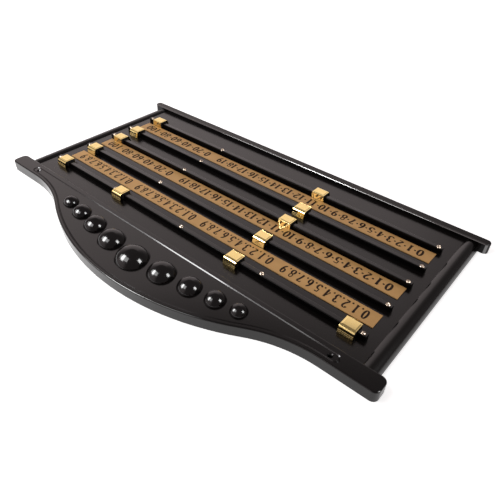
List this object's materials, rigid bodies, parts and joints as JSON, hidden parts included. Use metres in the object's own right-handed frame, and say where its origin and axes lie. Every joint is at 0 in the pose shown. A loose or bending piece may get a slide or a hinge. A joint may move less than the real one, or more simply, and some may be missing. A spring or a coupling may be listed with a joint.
{
  "type": "billiard scoreboard",
  "caption": "Wall scoreboard in black lacquered wood with a curved crest of half balls, gold number plates and brass pointers that slide on rails.",
  "frame": {"origin": "middle of the footprint on the plane of the frame's back, which is the plane that meets the wall", "axes": "+X to the right and +Y up as the board hangs, with the crest at +Y, and +Z out of the face; the board lies on its back"},
  "size_m": [0.85, 0.4929, 0.0397],
  "materials": {
    "lacquered_wood": "black lacquer, satin to gloss",
    "gloss_lacquer": "black lacquer, high gloss",
    "dowel_wood": "bare beech",
    "zinc_screw": "zinc plated",
    "bright_screw": "bright nickel plated",
    "matt_gold_plate": "matt antique gold",
    "polished_brass": "polished and lacquered",
    "black_plastic": "moulded, matt"
  },
  "bodies": {
    "board": {"backboard": "lacquered_wood", "crest": "lacquered_wood", "bottom_rail": "lacquered_wood", "side_rail_left": "lacquered_wood", "side_rail_right": "lacquered_wood", "frame_dowels": "dowel_wood", "backboard_screws": "zinc_screw", "half_ball_1": "gloss_lacquer", "half_ball_2": "gloss_lacquer", "half_ball_3": "gloss_lacquer", "half_ball_4": "gloss_lacquer", "half_ball_5": "gloss_lacquer", "half_ball_6": "gloss_lacquer", "half_ball_7": "gloss_lacquer", "half_ball_8": "gloss_lacquer", "half_ball_9": "gloss_lacquer", "number_plate_1": "matt_gold_plate", "number_plate_2": "matt_gold_plate", "number_plate_3": "matt_gold_plate", "slide_rail_1": "lacquered_wood", "slide_rail_2": "lacquered_wood", "slide_rail_3": "lacquered_wood", "slide_rail_4": "lacquered_wood", "slide_rail_5": "lacquered_wood", "rail_1_screws": "bright_screw", "rail_2_screws": "bright_screw", "rail_3_screws": "bright_screw", "rail_4_screws": "bright_screw", "rail_5_screws": "bright_screw"},
    "pointer_1_1": {"pointer_1_1_cap": "polished_brass", "pointer_1_1_shoe": "black_plastic"},
    "pointer_1_2": {"pointer_1_2_cap": "polished_brass", "pointer_1_2_shoe": "black_plastic"},
    "pointer_1_3": {"pointer_1_3_cap": "polished_brass", "pointer_1_3_shoe": "black_plastic"},
    "pointer_1_4": {"pointer_1_4_cap": "polished_brass", "pointer_1_4_shoe": "black_plastic"},
    "pointer_2_1": {"pointer_2_1_cap": "polished_brass", "pointer_2_1_shoe": "black_plastic"},
    "pointer_2_2": {"pointer_2_2_cap": "polished_brass", "pointer_2_2_shoe": "black_plastic"},
    "pointer_3_1": {"pointer_3_1_cap": "polished_brass", "pointer_3_1_shoe": "black_plastic"},
    "pointer_3_2": {"pointer_3_2_cap": "polished_brass", "pointer_3_2_shoe": "black_plastic"},
    "pointer_4_1": {"pointer_4_1_cap": "polished_brass", "pointer_4_1_shoe": "black_plastic"},
    "pointer_4_2": {"pointer_4_2_cap": "polished_brass", "pointer_4_2_shoe": "black_plastic"},
    "pointer_5_1": {"pointer_5_1_cap": "polished_brass", "pointer_5_1_shoe": "black_plastic"},
    "pointer_5_2": {"pointer_5_2_cap": "polished_brass", "pointer_5_2_shoe": "black_plastic"}
  },
  "joints": [
    {"name": "pointer_1_1_slide", "type": "slide", "parent": "board", "child": "pointer_1_1", "axis": [1, 0, 0], "range_m": [-0.00315, 0.14445]},
    {"name": "pointer_1_2_slide", "type": "slide", "parent": "board", "child": "pointer_1_2", "axis": [1, 0, 0], "range_m": [-0.04005, 0.10755]},
    {"name": "pointer_1_3_slide", "type": "slide", "parent": "board", "child": "pointer_1_3", "axis": [1, 0, 0], "range_m": [-0.14675, 0.00085]},
    {"name": "pointer_1_4_slide", "type": "slide", "parent": "board", "child": "pointer_1_4", "axis": [1, 0, 0], "range_m": [-0.14365, 0.00395]},
    {"name": "pointer_2_1_slide", "type": "slide", "parent": "board", "child": "pointer_2_1", "axis": [1, 0, 0], "range_m": [-0.21975, 0.24285]},
    {"name": "pointer_2_2_slide", "type": "slide", "parent": "board", "child": "pointer_2_2", "axis": [1, 0, 0], "range_m": [-0.18945, 0.00415]},
    {"name": "pointer_3_1_slide", "type": "slide", "parent": "board", "child": "pointer_3_1", "axis": [1, 0, 0], "range_m": [-0.21755, 0.24505]},
    {"name": "pointer_3_2_slide", "type": "slide", "parent": "board", "child": "pointer_3_2", "axis": [1, 0, 0], "range_m": [-0.18645, 0.00715]},
    {"name": "pointer_4_1_slide", "type": "slide", "parent": "board", "child": "pointer_4_1", "axis": [1, 0, 0], "range_m": [-0.21875, 0.24385]},
    {"name": "pointer_4_2_slide", "type": "slide", "parent": "board", "child": "pointer_4_2", "axis": [1, 0, 0], "range_m": [-0.18705, 0.00655]},
    {"name": "pointer_5_1_slide", "type": "slide", "parent": "board", "child": "pointer_5_1", "axis": [1, 0, 0], "range_m": [-0.22335, 0.23925]},
    {"name": "pointer_5_2_slide", "type": "slide", "parent": "board", "child": "pointer_5_2", "axis": [1, 0, 0], "range_m": [-0.18485, 0.00875]}
  ]
}
